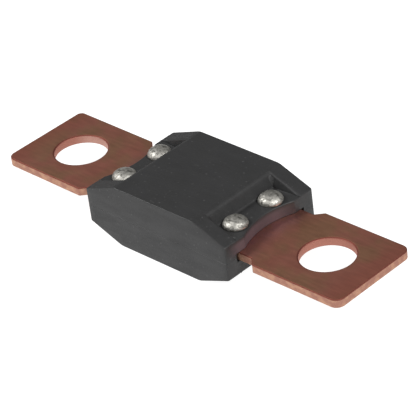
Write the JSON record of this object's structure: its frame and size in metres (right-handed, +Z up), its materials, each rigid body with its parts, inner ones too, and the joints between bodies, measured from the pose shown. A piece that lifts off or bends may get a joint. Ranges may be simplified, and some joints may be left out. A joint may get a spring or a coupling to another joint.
{
  "type": "bolt-down high-current fuse",
  "caption": "Bolt-down high-current fuse with a black moulded housing, riveted end shelves and a flat copper terminal blade at each end.",
  "frame": {"origin": "middle of the housing's bottom face, which is the lowest face of the fuse", "axes": "+X runs along the fuse from the left terminal to the right terminal, +Y runs across it, and +Z runs up from the rolled rivet ends to the rivet heads"},
  "size_m": [0.0682, 0.0188, 0.0104],
  "materials": {
    "housing": "satin black thermoset moulding",
    "terminal_copper": "rolled and punched copper strip, slightly tarnished",
    "link_copper": "thin copper strip",
    "tin": "dull tin solder",
    "arc_sheet": "mica sheet",
    "rivet": "bright plated steel"
  },
  "bodies": {
    "root": {"housing_upper": "housing", "housing_lower": "housing", "terminal_left": "terminal_copper", "terminal_right": "terminal_copper", "fuse_link": "link_copper", "link_solder_spot": "tin", "arc_sheet_upper": "arc_sheet", "arc_sheet_lower": "arc_sheet", "rivet_left_near": "rivet", "rivet_left_far": "rivet", "rivet_right_near": "rivet", "rivet_right_far": "rivet"}
  },
  "joints": []
}
